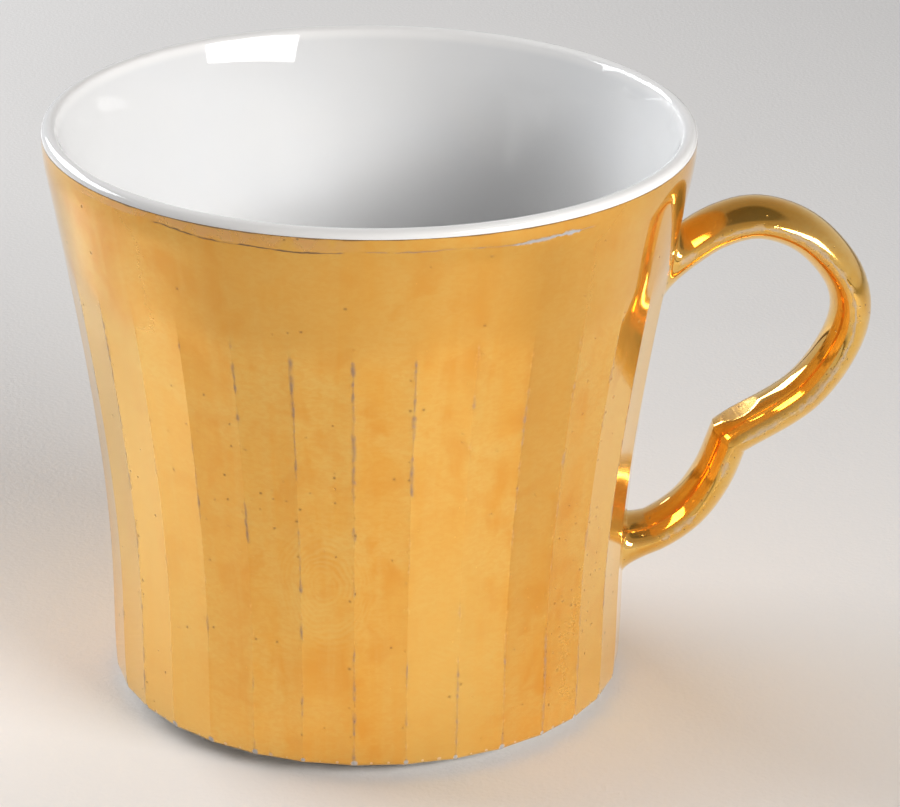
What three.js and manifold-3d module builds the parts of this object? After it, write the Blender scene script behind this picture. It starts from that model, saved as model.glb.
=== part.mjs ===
// Demitasse cup in gilded porcelain: a flared, panelled cup with a looped strap handle.
// Millimetres, +Z up. The cup stands on z = 0, and its handle points along +X.
import * as THREE from 'three';
import { mergeVertices } from 'three/addons/utils/BufferGeometryUtils.js';
import Module from 'manifold-3d';

const wasm = await Module();
wasm.setup();

// Cup
const cupHeight = 60.6; // standing plane to the top of the lip
const rimRadius = 32.85; // outside of the wall at the lip
const baseRadius = 26.35; // outside of the wall at the base edge
const wallThickness = 2.5;
const lipThickness = 1.6;
const lipEase = 5.6; // lip to where the wall has its full thickness, drawn in on the inside
const floorThickness = 3.6;
const insideCornerRadius = 7; // between the inside wall and the floor

// Flare of the outside wall, as sideways run for each millimetre of height
const baseDraft = 0.081; // at the base edge
const flareSlope = 0.194; // at the shoulder
const basePull = 0.19; // how far each end slope reaches, as a share of the wall height
const shoulderPull = 0.71;
const shoulderDrop = 4; // below the lip, where the flare starts to turn upright
const uprightDrop = 1.25; // below the lip, where it stands upright

// Upright panels
const panelCount = 32;
const panelDepth = 0.16; // middle of a panel, below the ridges beside it
const panelTopDrop = 11.2; // lip to where the panels start
const panelFade = 5.4; // height over which they reach full depth

// Coats
const glazeThickness = 0.3;
const glazeGap = 0.1; // between a coat and the porcelain, and where two coats meet
const goldLineDrop = 0.65; // lip to the upper edge of the gold

// Foot ring
const footHeight = 1.4;
const footRadius = 23.8; // outside, where it joins the cup's floor
const footWidth = 2;
const footTaper = 0.4; // each side draws in by this much at the standing face

// Handle
const handleThickness = 4.2; // in the plane of the loop, gold included
const handleWidth = 7.5; // across the loop, gold included
const upperJointHeight = 45.5; // middle of each joint, above the standing plane
const lowerJointHeight = 14.1;
const jointLength = 3.2; // wall to the end of the strap, along its middle line
const upperFillet = 1.7; // how far each joint spreads on the wall
const lowerFillet = 1;
const jointGap = 0.3; // joint to the porcelain, the strap and the edge of the coat
const loopPoints = [[4.9, 3.3], [9.2, 4.3], [14.2, 2.5], [18.4, -2.5], [18.9, -7.1], [15, -14.3]];
const restPoint = [7, -19.7]; // the finger rest; these are out and up from the upper joint
const lobePoints = [[9.2, 7.4], [6.7, 3.7], [3.3, 1.2]]; // out and up from the lower joint

// Fineness
const wallSides = 2 * panelCount; // a ridge and a middle for each panel
const flareBands = 5;
const insideBands = 5;
const strapSides = 12;
const loopSteps = 24;
const lobeSteps = 9;
const jointSteps = 4;
const jointBackShare = 0.5; // ring on the back of a joint, as a share of its outline
const lipSteps = 4;
const cornerSteps = 3;
const solveSteps = 40;

const lipRadius = lipThickness / 2;
const shoulderHeight = cupHeight - shoulderDrop;
const uprightRise = shoulderDrop - uprightDrop;
const shoulderRadius = rimRadius - flareSlope * uprightRise / 2;
const floorTop = footHeight + floorThickness;
const cornerHeight = floorTop + insideCornerRadius;
const flareHeight = shoulderHeight - footHeight;
const panelTop = cupHeight - panelTopDrop;
const fullDepthTop = panelTop - panelFade; // below this the panels have their full depth
const lipMiddle = new THREE.Vector2(rimRadius - lipRadius, cupHeight - lipRadius);

const flare = new THREE.CubicBezierCurve(
  new THREE.Vector2(baseRadius, footHeight),
  new THREE.Vector2(baseRadius + baseDraft * basePull * flareHeight, footHeight + basePull * flareHeight),
  new THREE.Vector2(
    shoulderRadius - flareSlope * shoulderPull * flareHeight,
    shoulderHeight - shoulderPull * flareHeight,
  ),
  new THREE.Vector2(shoulderRadius, shoulderHeight),
);

// Outside radius at a height: the flare, then a short rise that turns upright below the lip.
function outsideRadius(height) {
  if (height > shoulderHeight) {
    const rise = Math.min(height - shoulderHeight, uprightRise);
    return shoulderRadius + flareSlope * (rise - rise * rise / (2 * uprightRise));
  }
  let low = 0;
  let high = 1;
  for (let step = 0; step < solveSteps; step += 1) {
    const middle = (low + high) / 2;
    if (flare.getPoint(middle).y < height) {
      low = middle;
    } else {
      high = middle;
    }
  }
  return flare.getPoint(low).x;
}

// Profile pieces. Depth is measured from the finished surface into the porcelain.
function outsideWall(depth, top) {
  const heights = [];
  for (let band = 0; band <= flareBands; band += 1) {
    heights.push(footHeight + (fullDepthTop - footHeight) * band / flareBands);
  }
  heights.push((fullDepthTop + panelTop) / 2, panelTop, shoulderHeight, top);
  return heights.map((height) => new THREE.Vector2(outsideRadius(height) - depth, height));
}

function lip(depth, startAngle, endAngle) {
  const points = [];
  for (let step = 0; step <= lipSteps; step += 1) {
    const angle = startAngle + (endAngle - startAngle) * step / lipSteps;
    const arm = new THREE.Vector2(Math.cos(angle), Math.sin(angle));
    points.push(arm.multiplyScalar(lipRadius - depth).add(lipMiddle));
  }
  return points;
}

// The wall narrows towards the lip in a parabola, so the inside opens out there.
function insideWall(depth) {
  const easeHeight = cupHeight - lipEase;
  const heights = [(lipMiddle.y + easeHeight) / 2];
  for (let band = 0; band < insideBands; band += 1) {
    heights.push(easeHeight + (cornerHeight - easeHeight) * band / insideBands);
  }
  return heights.map((height) => {
    const share = Math.max(0, (height - easeHeight) / (lipMiddle.y - easeHeight));
    const thickness = wallThickness - (wallThickness - lipThickness) * share * share;
    return new THREE.Vector2(outsideRadius(height) - thickness + depth, height);
  });
}

function floorCorner(depth) {
  const points = [];
  const radius = insideCornerRadius + depth;
  const middleRadius = outsideRadius(cornerHeight) - wallThickness - insideCornerRadius;
  for (let step = 0; step <= cornerSteps; step += 1) {
    const angle = Math.PI / 2 * step / cornerSteps;
    points.push(new THREE.Vector2(
      middleRadius + radius * Math.cos(angle),
      cornerHeight - radius * Math.sin(angle),
    ));
  }
  points.push(new THREE.Vector2(0, floorTop - depth));
  return points;
}

function revolve(profile) {
  const geometry = new THREE.LatheGeometry(profile, wallSides);
  geometry.rotateX(Math.PI / 2);
  return weld(geometry);
}

function weld(geometry) {
  geometry.deleteAttribute('normal');
  geometry.deleteAttribute('uv');
  return mergeVertices(geometry);
}

// Draws in the outer half of the wall between the ridges, deepest in the middle of each panel.
function pressPanels(geometry) {
  const position = geometry.getAttribute('position');
  for (let index = 0; index < position.count; index += 1) {
    const x = position.getX(index);
    const y = position.getY(index);
    const height = position.getZ(index);
    const radius = Math.hypot(x, y);
    if (height < panelTop && radius > outsideRadius(height) - wallThickness / 2) {
      const fade = THREE.MathUtils.smoothstep(panelTop - height, 0, panelFade);
      const across = (1 + Math.cos(panelCount * Math.atan2(x, -y))) / 2;
      const scale = 1 - panelDepth * fade * across / radius;
      position.setXY(index, x * scale, y * scale);
    }
  }
  return geometry;
}

// A solid through rings of points: side walls, then a fan over each end or a join from last to first.
function loft(rings, startMiddle, endMiddle) {
  const sides = rings[0].length;
  const points = rings.flat();
  const triangles = [];
  const bands = startMiddle ? rings.length - 1 : rings.length;
  for (let band = 0; band < bands; band += 1) {
    const lower = band * sides;
    const upper = ((band + 1) % rings.length) * sides;
    for (let side = 0; side < sides; side += 1) {
      const next = (side + 1) % sides;
      triangles.push(lower + side, lower + next, upper + next);
      triangles.push(lower + side, upper + next, upper + side);
    }
  }
  if (startMiddle) {
    const last = (rings.length - 1) * sides;
    const start = points.push(startMiddle) - 1;
    const end = points.push(endMiddle) - 1;
    for (let side = 0; side < sides; side += 1) {
      const next = (side + 1) % sides;
      triangles.push(start, next, side);
      triangles.push(end, last + side, last + next);
    }
  }
  const geometry = new THREE.BufferGeometry().setFromPoints(points);
  geometry.setIndex(triangles);
  return geometry;
}

function toSolid(geometry) {
  return new wasm.Manifold(new wasm.Mesh({
    numProp: 3,
    vertProperties: Float32Array.from(geometry.getAttribute('position').array),
    triVerts: Uint32Array.from(geometry.getIndex().array),
  }));
}

function toGeometry(solid) {
  const mesh = solid.getMesh();
  const geometry = new THREE.BufferGeometry();
  geometry.setAttribute('position', new THREE.BufferAttribute(mesh.vertProperties, 3));
  geometry.setIndex(new THREE.BufferAttribute(mesh.triVerts, 1));
  return geometry;
}

// Handle middle line: the loop from the upper joint to the finger rest, then the lobe to the lower joint.
function fromJoint(jointHeight, offset) {
  return new THREE.Vector3(outsideRadius(jointHeight) + offset[0], 0, jointHeight + offset[1]);
}

const upperRoot = fromJoint(upperJointHeight, [0, 0]);
const lowerRoot = fromJoint(lowerJointHeight, [0, 0]);
const rest = fromJoint(upperJointHeight, restPoint);
const loopLine = new THREE.CatmullRomCurve3([
  upperRoot,
  ...loopPoints.map((offset) => fromJoint(upperJointHeight, offset)),
  rest,
]);
const lobeLine = new THREE.CatmullRomCurve3([
  rest,
  ...lobePoints.map((offset) => fromJoint(lowerJointHeight, offset)),
  lowerRoot,
]);

// Outward normal of the strap in the plane of the loop: the middle line's direction turned a quarter.
function strapNormal(direction) {
  return new THREE.Vector3(-direction.z, 0, direction.x).normalize();
}

function strapRing(middle, normal, depth) {
  const ring = [];
  for (let side = 0; side < strapSides; side += 1) {
    const angle = 2 * Math.PI * side / strapSides;
    const out = (handleThickness / 2 - depth) * Math.cos(angle);
    const across = (depth - handleWidth / 2) * Math.sin(angle);
    ring.push(middle.clone().addScaledVector(normal, out).add(new THREE.Vector3(0, across, 0)));
  }
  return ring;
}

// Middle points and normals along the strap. The two lines meet at a mitre on the finger rest.
function strapStations() {
  const stations = [];
  const loopStart = jointLength / loopLine.getLength();
  const lobeEnd = 1 - jointLength / lobeLine.getLength();
  for (let step = 0; step < loopSteps; step += 1) {
    const along = loopStart + (1 - loopStart) * step / loopSteps;
    stations.push({ middle: loopLine.getPointAt(along), normal: strapNormal(loopLine.getTangentAt(along)) });
  }
  const before = strapNormal(loopLine.getTangentAt(1));
  const after = strapNormal(lobeLine.getTangentAt(0));
  const mitre = before.clone().add(after).normalize();
  stations.push({ middle: rest, normal: mitre.divideScalar(mitre.dot(before)) });
  for (let step = 1; step <= lobeSteps; step += 1) {
    const along = lobeEnd * step / lobeSteps;
    stations.push({ middle: lobeLine.getPointAt(along), normal: strapNormal(lobeLine.getTangentAt(along)) });
  }
  return stations;
}

const stations = strapStations();

function strapRings(depth) {
  return stations.map((station) => strapRing(station.middle, station.normal, depth));
}

// Outline of a joint on the wall: the strap's section where it meets the wall, spread by a margin.
function jointOutline(root, direction, margin) {
  const wallRun = outsideRadius(root.z + 1) - outsideRadius(root.z);
  const alongWall = new THREE.Vector3(wallRun, 0, 1).normalize();
  const slant = Math.abs(strapNormal(direction).dot(alongWall));
  const outline = [];
  for (let side = 0; side < strapSides; side += 1) {
    const angle = 2 * Math.PI * side / strapSides;
    outline.push({
      y: -(handleWidth / 2 + margin) * Math.sin(angle),
      up: (handleThickness / 2 / slant + margin) * Math.cos(angle) * Math.sign(direction.x),
    });
  }
  return outline;
}

function onWall(root, point, share) {
  const depth = glazeThickness + glazeGap - jointGap;
  const height = root.z + point.up * share;
  const y = point.y * share;
  const radius = outsideRadius(height) - depth;
  return new THREE.Vector3(Math.sqrt(radius * radius - y * y), y, height);
}

// A joint runs from the end of the strap and spreads over the wall in a hollow curve.
function jointGeometry(root, station, direction, fillet) {
  const toWall = direction.clone().multiplyScalar(-Math.sign(direction.x));
  const end = strapRing(station.middle.clone().addScaledVector(toWall, jointGap), station.normal, 0);
  const tight = jointOutline(root, direction, 0);
  const spread = jointOutline(root, direction, fillet);
  const curves = end.map((point, side) => new THREE.QuadraticBezierCurve3(
    point,
    onWall(root, tight[side], 1),
    onWall(root, spread[side], 1),
  ));
  const rings = [];
  for (let step = 0; step <= jointSteps; step += 1) {
    rings.push(curves.map((curve) => curve.getPoint(step / jointSteps)));
  }
  rings.push(spread.map((point) => onWall(root, point, jointBackShare)));
  const middle = end.reduce((sum, point) => sum.add(point), new THREE.Vector3()).divideScalar(end.length);
  const ordered = direction.x > 0 ? rings.reverse() : rings;
  const wallMiddle = onWall(root, { y: 0, up: 0 }, 1);
  return direction.x > 0 ? loft(ordered, wallMiddle, middle) : loft(ordered, middle, wallMiddle);
}

// The opening that a joint needs in the coat on the wall.
function jointWindow(root, direction, fillet) {
  const outline = jointOutline(root, direction, fillet + jointGap);
  const reach = wallThickness;
  const rings = [-reach, reach].map((x) => outline.map(
    (point) => new THREE.Vector3(root.x + x, point.y, root.z + point.up),
  ));
  const middles = [-reach, reach].map((x) => new THREE.Vector3(root.x + x, 0, root.z));
  if (direction.x < 0) {
    rings.reverse();
    middles.reverse();
  }
  return toSolid(loft(rings, middles[0], middles[1]));
}

const loopStartDirection = loopLine.getTangentAt(jointLength / loopLine.getLength());
const lobeEndDirection = lobeLine.getTangentAt(1 - jointLength / lobeLine.getLength());
const goldAngle = Math.asin((lipRadius - goldLineDrop) / lipRadius);

function cupBody() {
  const depth = glazeThickness + glazeGap;
  return pressPanels(revolve([
    new THREE.Vector2(0, footHeight),
    ...outsideWall(depth, lipMiddle.y),
    ...lip(depth, 0, Math.PI).slice(1),
    ...insideWall(depth),
    ...floorCorner(depth),
  ]));
}

function insideGlaze() {
  const outer = [...lip(0, goldAngle, Math.PI), ...insideWall(0), ...floorCorner(0)];
  const inner = [
    ...lip(glazeThickness, goldAngle, Math.PI),
    ...insideWall(glazeThickness),
    ...floorCorner(glazeThickness),
  ];
  return revolve([...inner.reverse(), ...outer]);
}

function wallGilding() {
  const edgeAngle = goldAngle - glazeGap / lipRadius;
  const outer = [...outsideWall(0, lipMiddle.y), ...lip(0, 0, edgeAngle).slice(1)];
  const inner = [
    ...outsideWall(glazeThickness, lipMiddle.y),
    ...lip(glazeThickness, 0, edgeAngle).slice(1),
  ];
  const coat = pressPanels(revolve([...outer, ...inner.reverse(), outer[0].clone()]));
  const upperWindow = jointWindow(upperRoot, loopStartDirection, upperFillet);
  const lowerWindow = jointWindow(lowerRoot, lobeEndDirection, lowerFillet);
  return toGeometry(toSolid(coat).subtract(upperWindow).subtract(lowerWindow));
}

function footRing() {
  const inside = footRadius - footWidth;
  const profile = [
    new THREE.Vector2(inside + footTaper, 0),
    new THREE.Vector2(footRadius - footTaper, 0),
    new THREE.Vector2(footRadius, footHeight),
    new THREE.Vector2(inside, footHeight),
  ];
  return revolve([...profile, profile[0].clone()]);
}

function handle() {
  const rings = strapRings(glazeThickness + glazeGap);
  return loft(rings, stations[0].middle, stations.at(-1).middle);
}

function handleGilding() {
  return loft([...strapRings(0), ...strapRings(glazeThickness).reverse()]);
}

const porcelain = { color: 0xe9e6df, roughness: 0.55, metalness: 0 };
const whiteGlaze = { color: 0xf4f5f6, roughness: 0.08, metalness: 0 };
const gold = { color: 0xd9a240, roughness: 0.16, metalness: 1 };

const cup = new THREE.Group();

function addPiece(name, geometry, finish) {
  const mesh = new THREE.Mesh(geometry, new THREE.MeshStandardMaterial(finish));
  mesh.name = name;
  cup.add(mesh);
}

addPiece('cup_body', cupBody(), porcelain);
addPiece('inside_glaze', insideGlaze(), whiteGlaze);
addPiece('wall_gilding', wallGilding(), gold);
addPiece('foot_ring', footRing(), porcelain);
addPiece('handle', handle(), porcelain);
addPiece('handle_gilding', handleGilding(), gold);
addPiece(
  'upper_handle_joint',
  jointGeometry(upperRoot, stations[0], loopStartDirection, upperFillet),
  gold,
);
addPiece(
  'lower_handle_joint',
  jointGeometry(lowerRoot, stations.at(-1), lobeEndDirection, lowerFillet),
  gold,
);

// The origin lies on the standing plane, under the middle of the whole outline.
const outline = new THREE.Box3().setFromObject(cup);
cup.position.x = -(outline.min.x + outline.max.x) / 2;

export default cup;
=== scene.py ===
import math

import bpy
import numpy as np
from mathutils import Matrix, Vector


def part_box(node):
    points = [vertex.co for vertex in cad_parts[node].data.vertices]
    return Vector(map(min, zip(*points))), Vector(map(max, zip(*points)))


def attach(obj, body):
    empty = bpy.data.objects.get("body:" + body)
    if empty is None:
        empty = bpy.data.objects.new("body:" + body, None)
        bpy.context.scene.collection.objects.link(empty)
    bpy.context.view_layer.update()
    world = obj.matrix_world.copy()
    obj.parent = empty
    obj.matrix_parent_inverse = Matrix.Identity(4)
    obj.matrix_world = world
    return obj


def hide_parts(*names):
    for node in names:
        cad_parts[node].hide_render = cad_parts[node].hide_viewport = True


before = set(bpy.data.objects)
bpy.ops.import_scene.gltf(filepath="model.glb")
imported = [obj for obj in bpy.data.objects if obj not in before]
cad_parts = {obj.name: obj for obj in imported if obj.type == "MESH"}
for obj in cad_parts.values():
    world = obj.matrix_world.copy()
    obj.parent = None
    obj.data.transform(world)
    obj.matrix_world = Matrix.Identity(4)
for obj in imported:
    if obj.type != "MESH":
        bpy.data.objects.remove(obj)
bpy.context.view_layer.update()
print("frame loaded:", ", ".join(sorted(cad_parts)))

# sizes below are in millimetres, as on the drawing; meshes are written in metres
mm = 0.001
bodyLow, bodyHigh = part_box("cup_body")
axisX = (bodyLow.x + bodyHigh.x) / 2 / mm  # the cup's own axis

cup = {
    "height": 60.6,
    "rimRadius": 32.85,
    "baseRadius": 26.35,
    "wall": 2.5,
    "floor": 3.6,
    "insideCorner": 7.0,
    "baseDraft": 0.081,  # sideways run per millimetre of height at the base
    "flareSlope": 0.194,  # and at the shoulder
    "basePull": 0.19,
    "shoulderPull": 0.71,
    "shoulderDrop": 4.0,
    "coat": 0.3,  # glaze or gold, drawn thick enough to be a solid
    "coatGap": 0.1,
    "uprightDrop": 1.25,  # lip to where the outside has turned upright
    "lip": 1.56,  # thickness of the lip
    "lipTilt": 22.0,  # degrees off upright where the inside meets the lip
    "insideEase": 5.6,  # lip to where the inside starts to open towards it
    "goldDrop": 0.86,  # lip to the upper edge of the gold
    "baseRound": 0.5,  # rolled edge under the wall
}
panels = {"count": 32, "depth": 0.16, "topDrop": 11.2, "fade": 5.4}
foot = {"height": 1.4, "radius": 23.8, "width": 2.0, "taper": 0.4, "round": 0.3}

lipRadius = cup["lip"] / 2
lipMiddle = np.array([cup["rimRadius"] - lipRadius, cup["height"] - lipRadius])
goldTop = cup["height"] - cup["goldDrop"]
latheSides = 192
latheTurn = np.arange(latheSides) * panels["count"] / latheSides
poleRadius = 0.4  # innermost ring of a level face, closed by a fan


def smoothStep(value, low, high):
    # 0 below low, 1 above high, an easy S between them
    share = np.clip((value - low) / (high - low), 0, 1)
    return share * share * (3 - 2 * share)


def outsideRadius(height):
    # cubic curve from the base edge to the shoulder, then a parabola that turns upright below the lip
    shoulder = cup["height"] - cup["shoulderDrop"]
    upright = cup["shoulderDrop"] - cup["uprightDrop"]
    shoulderRadius = cup["rimRadius"] - cup["flareSlope"] * upright / 2
    tall = shoulder - foot["height"]
    low = np.array([cup["baseRadius"], foot["height"]])
    high = np.array([shoulderRadius, shoulder])
    lowPull = cup["basePull"] * tall * np.array([cup["baseDraft"], 1])
    highPull = cup["shoulderPull"] * tall * np.array([cup["flareSlope"], 1])
    t = np.linspace(0, 1, 600)[:, None]
    curve = (1 - t) ** 3 * low + 3 * (1 - t) ** 2 * t * (low + lowPull)
    curve = curve + 3 * (1 - t) * t * t * (high - highPull) + t ** 3 * high
    rise = np.clip(height - shoulder, 0, upright)
    above = shoulderRadius + cup["flareSlope"] * (rise - rise * rise / (2 * upright))
    return np.where(height > shoulder, above, np.interp(height, curve[:, 1], curve[:, 0]))


def panelDent(turn, height):
    # a shallow parabola across each panel, nothing on the ridges, eased in below the plain band
    share = turn - np.floor(turn)
    top = cup["height"] - panels["topDrop"]
    return panels["depth"] * 4 * share * (1 - share) * smoothStep(top - height, 0, panels["fade"])


def around(turn, radius, height):
    # turn counts panels from the ridge left of the front, so ridges are at whole numbers
    angle = (turn - 0.5) * 2 * math.pi / panels["count"]
    x, y = axisX + radius * np.sin(angle), -radius * np.cos(angle)
    return np.stack(np.broadcast_arrays(x, y, height), -1)


def arc(middle, radius, start, end, steps):
    angle = np.linspace(start, end, steps + 1)
    return np.stack([middle[0] + radius * np.cos(angle), middle[1] + radius * np.sin(angle)], -1)


def hermite(t, start, startPull, end, endPull):
    # the cubic between two places with a given pull at each
    line = start * (2 * t ** 3 - 3 * t * t + 1) + startPull * (t ** 3 - 2 * t * t + t)
    return line + end * (3 * t * t - 2 * t ** 3) + endPull * (t ** 3 - t * t)


def lengthAlong(line):
    return np.concatenate([[0], np.cumsum(np.hypot(*np.diff(line, axis=0).T))])


def addThing(name, data):
    thing = bpy.data.objects.new(name, data)
    bpy.context.scene.collection.objects.link(thing)
    return thing


def joined(first, second):
    return np.concatenate([first.ravel(), second.ravel()])


def gridPiece(name, rings, ends=None, joinEnds=False, across=None, along=None, sharp=35):
    # rings of points joined by quads; a fan closes each end, or the last ring joins the first
    rows, sides = rings.shape[:2]
    index = np.arange(rows * sides).reshape(rows, sides)
    across = np.arange(sides + 1) if across is None else across
    along = np.arange(rows) if along is None else along
    if joinEnds:
        index = np.vstack([index, index[:1]])
        along = np.append(along, along[0])
    after = np.roll(index, -1, axis=1)
    quads = np.stack([index[:-1], after[:-1], after[1:], index[1:]], -1).reshape(-1, 4)
    left, right = across[:-1], across[1:]
    u = np.tile(np.stack([left, right, right, left], -1), (len(index) - 1, 1))
    v = np.repeat(np.stack([along[:-1], along[:-1], along[1:], along[1:]], -1), sides, axis=0)
    points = rings.reshape(-1, 3)
    fans = np.zeros((0, 3), int)
    fanU = fanV = np.zeros((0, 3))
    if ends is not None:
        points = np.vstack([points, ends])
        first = np.full(sides, rows * sides)
        fans = np.vstack([
            np.stack([after[0], index[0], first], -1),
            np.stack([index[-1], after[-1], first + 1], -1),
        ])
        fanU = np.vstack([np.stack([right, left, left], -1), np.stack([left, right, left], -1)])
        fanV = np.vstack([np.full((sides, 3), along[0]), np.full((sides, 3), along[-1])])
    triangles = np.vstack([quads[:, [0, 1, 2]], quads[:, [0, 2, 3]], fans])
    a, b, c = (points[triangles[:, k]] for k in range(3))
    if np.einsum("ij,ij->", a - points.mean(0), np.cross(b - a, c - a)) < 0:  # faces must point outwards
        quads, u, v, fans, fanU, fanV = (part[:, ::-1] for part in (quads, u, v, fans, fanU, fanV))
    mesh = bpy.data.meshes.new(name)
    corners = joined(quads, fans)
    sizes = np.concatenate([np.full(len(quads), 4), np.full(len(fans), 3)])
    mesh.vertices.add(len(points))
    mesh.vertices.foreach_set("co", (points * mm).ravel())
    mesh.loops.add(len(corners))
    mesh.loops.foreach_set("vertex_index", corners)
    mesh.polygons.add(len(sizes))
    mesh.polygons.foreach_set("loop_start", np.cumsum(sizes) - sizes)
    mesh.polygons.foreach_set("use_smooth", np.ones(len(sizes), bool))
    uv = np.stack([joined(u, fanU), joined(v, fanV)], -1)
    mesh.uv_layers.new(name="pieceMap").uv.foreach_set("vector", uv.astype(np.float32).ravel())
    mesh.update(calc_edges=True)
    mesh.validate()
    mesh.set_sharp_from_angle(angle=math.radians(sharp))
    return addThing(name, mesh)


def finishPiece(piece, slot, material, *nodes):
    piece.data.materials.append(material)
    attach(piece, "root")
    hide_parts(*nodes)
    print("made", piece.name, len(piece.data.polygons), "faces")


def lathe(name, profile, ends=None, joinEnds=False):
    # a radius and height profile carried around the cup's axis
    rings = around(latheTurn[None], profile[:, :1], profile[:, 1:])
    across = np.append(latheTurn, panels["count"])
    return gridPiece(name, rings, ends, joinEnds, across, lengthAlong(profile))


# how worn each place is, and the painted shade and painted sheen of the gold panels, kept as one number for
# each point and read by the materials
wearAndShade = {
    "seed": 7,
    # upper, middle and lower strength of the ridges in front, and the range of the others
    "frontRidges": {
        28: (0.1, 0.1, 0.1), 29: (0.3, 0.2, 0.15), 30: (0.4, 0.3, 0.25), 31: (0.75, 0.35, 0.35),
        0: (1.0, 0.4, 0.5), 1: (0.75, 0.35, 0.6), 2: (0.55, 0.3, 0.5), 3: (0.5, 0.4, 0.85),
        4: (0.5, 0.45, 0.85), 5: (0.3, 0.4, 0.8),
    },
    "otherRidges": (0.15, 0.75),
    "ridgeLevels": ((8, 16), (29, 37)),  # heights where lower turns to middle and middle to upper
    "ridgeTop": (45.5, 48.6),
    # upper and lower tone of the panels in front, from painted shade at 0 to painted sheen at 1: a painted
    # reflection of the lit and shaded floor that each panel mirrors; and the range of the others, random
    # tones
    "frontTonesAndShades": {
        26: (1.0, 1.0), 27: (1.0, 1.0), 28: (0.85, 0.95), 29: (0.6, 0.6), 30: (0.5, 0.55), 31: (0.5, 0.6),
        0: (0.4, 0.5), 1: (0.6, 0.9), 2: (0.65, 1.0), 3: (0.25, 0.35), 4: (0.35, 0.4), 5: (0.75, 0.8),
        6: (0.9, 0.9),
    },
    "otherTones": (0.2, 0.9),
    "toneLevels": (10, 32),
    "toneDrift": 0.5,
    "bandTone": 0.5,  # the plain band above the panels
    "bandPaintedShade": 0.25,  # and how much darker it is painted in the next stretch, a painted shade
    # stretches are in panels from the front ridge: start, end and softness of the ends
    "bandShadeStretch": (-3.5, 9.0, 1.5),
    "rimLine": 58.4,  # height of the line rubbed into the gold below the lip
    "rimWaves": [(0.12, 1.7, 0), (0.06, 4.1, 1)],  # height of its waves, how close they are, start
    "rimRise": (0.5, -3.6, -2.2),  # how far it climbs at its left end, and where
    "rimSoft": 0.25,
    # stretches of that line: start, end, strength
    "rimStretches": [(-3.4, -0.2, 0.85), (-0.2, 1.0, 0.5), (1.0, 3.8, 0.85),
                     (8.6, 10.2, 0.5), (-11.8, -9.6, 0.45), (12.9, 14.7, 0.4)],
    "bareStretch": (2.35, 3.5, 0.2),  # where the white shows through it
    "bareShare": 0.5,
    "chip": (3.42, 0.14),  # place and width
    "rubbedStretch": (-5.2, -0.2, 0.6),
    # places full of pin holes: panel, height, width in panels, tallness, strength
    "pitted": [(4.6, 15.0, 1.4, 9.5, 1.0), (4.6, 57.6, 0.9, 1.6, 0.6), (-1.7, 30.0, 1.3, 6.0, 0.6),
               (-9.0, 22.0, 2.2, 12.0, 0.8)],
    "lumps": [(10.9, 0.45), (9.0, 0.3)],  # thick glaze inside the rim: panel and reach
    "lumpLevels": (58.0, 59.0),
}


def keepWearAndShade(piece, name, values):
    layer = piece.data.attributes.new(name, "FLOAT", "POINT")
    every = np.zeros(len(piece.data.vertices), np.float32)
    every[: values.size] = values.ravel()
    layer.data.foreach_set("value", every)


def stretch(turn, start, end, soft):
    # 1 between start and end, eased to 0 outside them
    return smoothStep(turn, start - soft, start + soft) * (1 - smoothStep(turn, end - soft, end + soft))


def fromFront(turn):
    half = panels["count"] / 2
    return (turn + half) % panels["count"] - half


def drawWear(seed, others, front):
    # random values for every ridge or panel, and the given ones in front
    values = np.random.default_rng(seed).uniform(*others, (panels["count"], len(front[0])))
    for index, given in front.items():
        values[index] = given
    return values


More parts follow.
